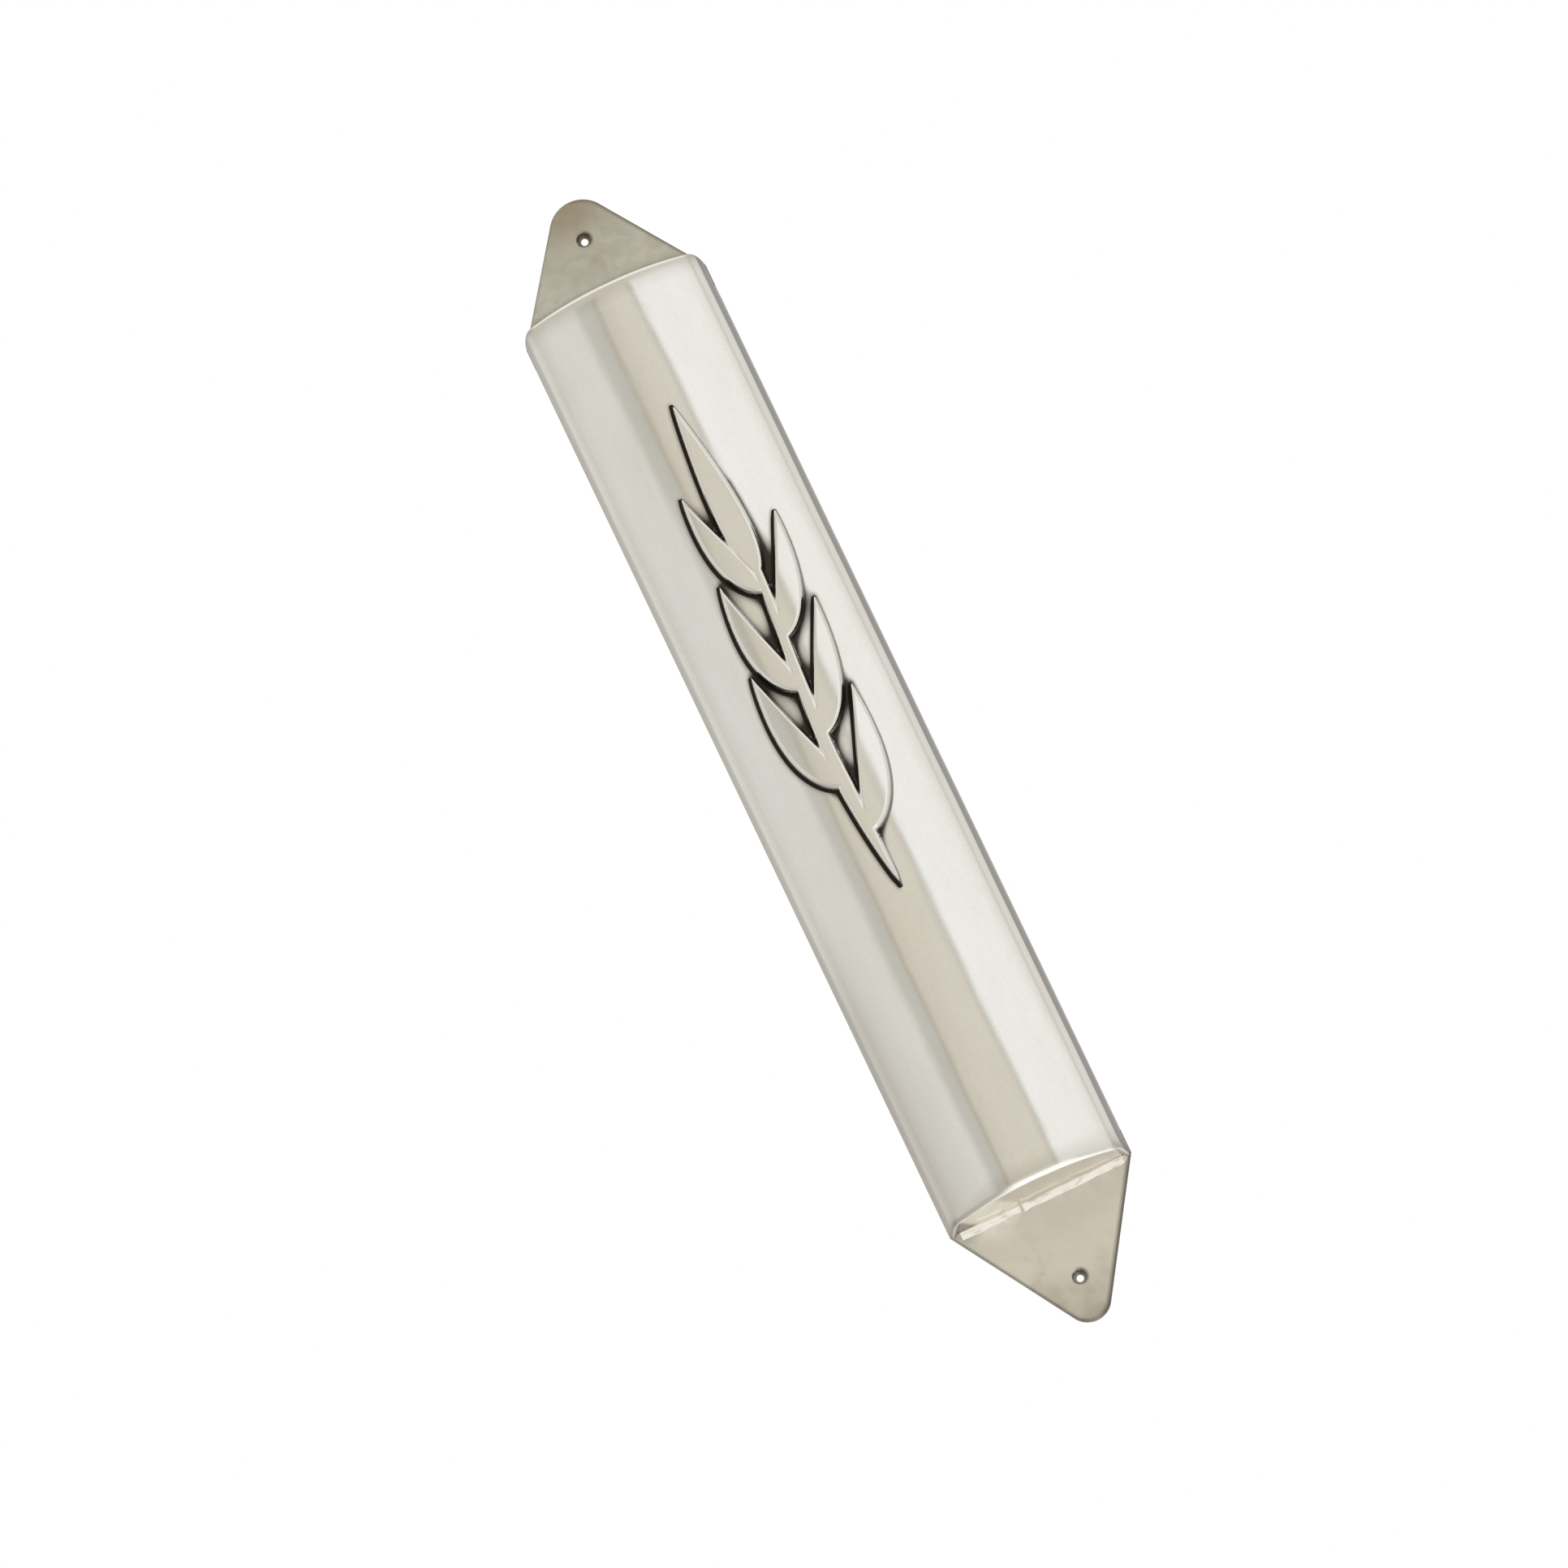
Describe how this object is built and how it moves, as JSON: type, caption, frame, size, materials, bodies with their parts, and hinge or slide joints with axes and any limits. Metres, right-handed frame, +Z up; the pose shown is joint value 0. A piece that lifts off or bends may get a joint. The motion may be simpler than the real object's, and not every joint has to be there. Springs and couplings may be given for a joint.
{
  "type": "mezuzah case",
  "caption": "Slim silver doorpost case with a crowned front, tapered nailing tabs at both ends, a raised leaf sprig and a back door that slides up to take a rolled parchment.",
  "frame": {"origin": "on the wall plane, on the centre line, halfway up the cover", "axes": "+Z up along the case, +X to the viewer's right, -Y out of the wall, towards the viewer"},
  "size_m": [0.024, 0.0114, 0.1552],
  "materials": {
    "polished_silver": "hand-polished silver sheet",
    "matte_silver": "silver left matte from the pickle, warm grey",
    "door_silver": "silver sheet with drawn marks along its length",
    "emblem_silver": "polished silver with rounded edges",
    "solder": "bright silver solder",
    "parchment": "blank cream parchment"
  },
  "bodies": {
    "case": {"front_cover": "polished_silver", "upper_end_wall": "polished_silver", "lower_end_wall": "polished_silver", "upper_mounting_tab": "matte_silver", "lower_mounting_tab": "matte_silver", "left_back_rail": "matte_silver", "right_back_rail": "matte_silver", "left_door_guide": "matte_silver", "right_door_guide": "matte_silver", "front_emblem": "emblem_silver", "lower_solder_seam": "solder", "parchment_scroll": "parchment"},
    "door": {"back_door": "door_silver", "door_lip": "door_silver"}
  },
  "joints": [
    {"name": "door_slide", "type": "slide", "parent": "case", "child": "door", "axis": [0, 0, 1], "range_m": [0, 0.124]}
  ]
}
